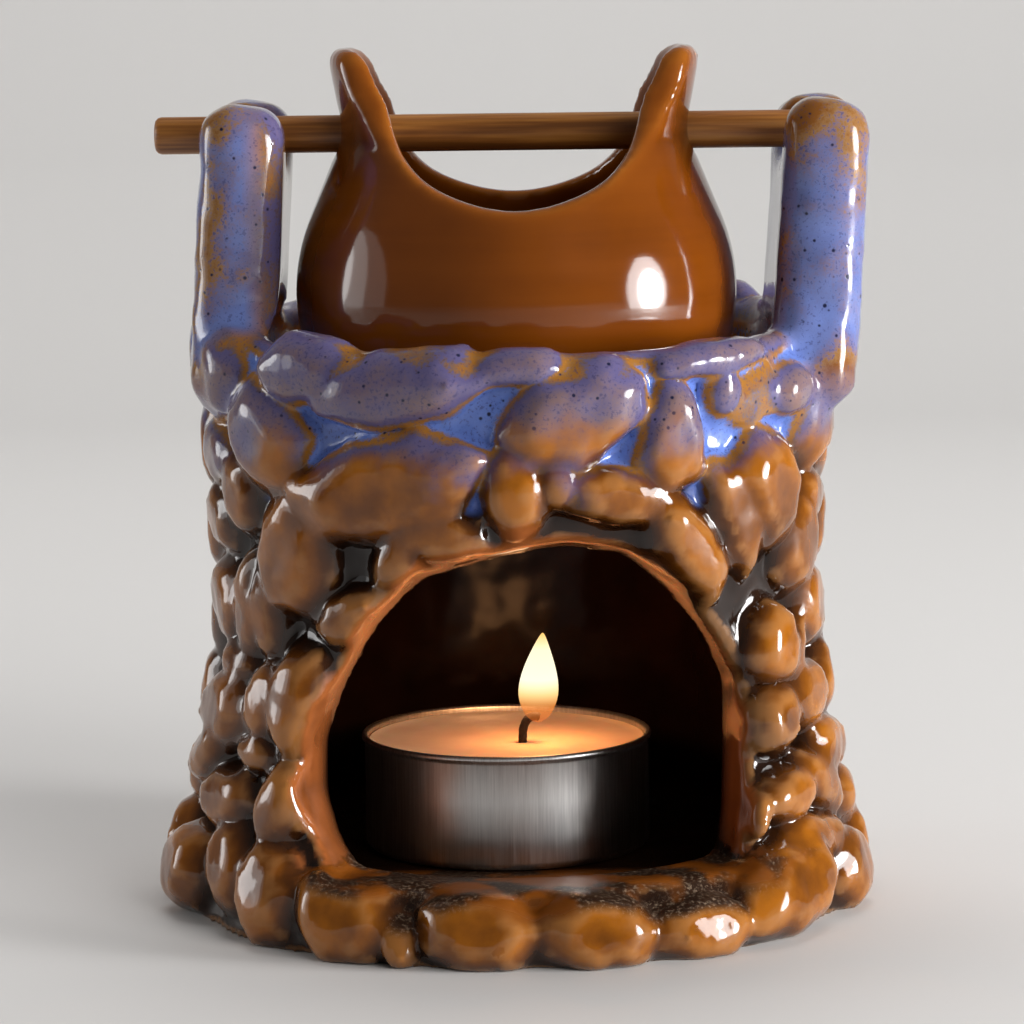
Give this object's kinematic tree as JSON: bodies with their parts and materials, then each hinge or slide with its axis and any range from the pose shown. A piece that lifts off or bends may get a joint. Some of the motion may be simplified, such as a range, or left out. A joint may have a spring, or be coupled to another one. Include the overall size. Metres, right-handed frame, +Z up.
{
  "type": "essential oil burner",
  "caption": "Glazed ceramic stone-well oil burner with an arched tealight mouth, forked posts, a wooden rod and a hanging eared pot",
  "frame": {"origin": "centre of the well's flat foot, on the table", "axes": "+Z up, -Y towards the front with the tealight mouth, +X to the viewer's right and along the wooden rod"},
  "size_m": [0.093, 0.0914, 0.111],
  "materials": {
    "reactive_glaze_stoneware": "glossy reactive glaze, blue and purple over brown",
    "amber_glaze_stoneware": "glossy amber-brown glaze",
    "stained_wood": "satin mid-brown stain",
    "aluminium_foil": "satin pressed aluminium",
    "candle_wax": "soft, slightly translucent paraffin wax",
    "charred_cotton": "charred black cotton cord",
    "tinned_steel": "thin tinned sheet"
  },
  "bodies": {
    "well": {"well_body": "reactive_glaze_stoneware"},
    "rod": {"hanging_rod": "stained_wood"},
    "pot": {"oil_pot": "amber_glaze_stoneware"},
    "tealight": {"tealight_cup": "aluminium_foil", "tealight_wax": "candle_wax", "tealight_wick": "charred_cotton", "wick_holder": "tinned_steel"}
  },
  "joints": [
    {"name": "rod_lift", "type": "slide", "parent": "well", "child": "rod", "axis": [0, 0, 1], "range_m": [0, 0.06]},
    {"name": "pot_swing", "type": "hinge", "parent": "rod", "child": "pot", "pos_m": [0, 0, 0.1], "axis": [1, 0, 0], "range_deg": [-8, 8]},
    {"name": "tealight_slide", "type": "slide", "parent": "well", "child": "tealight", "axis": [0, -0.9613, 0.2756], "range_m": [0, 0.07]}
  ]
}
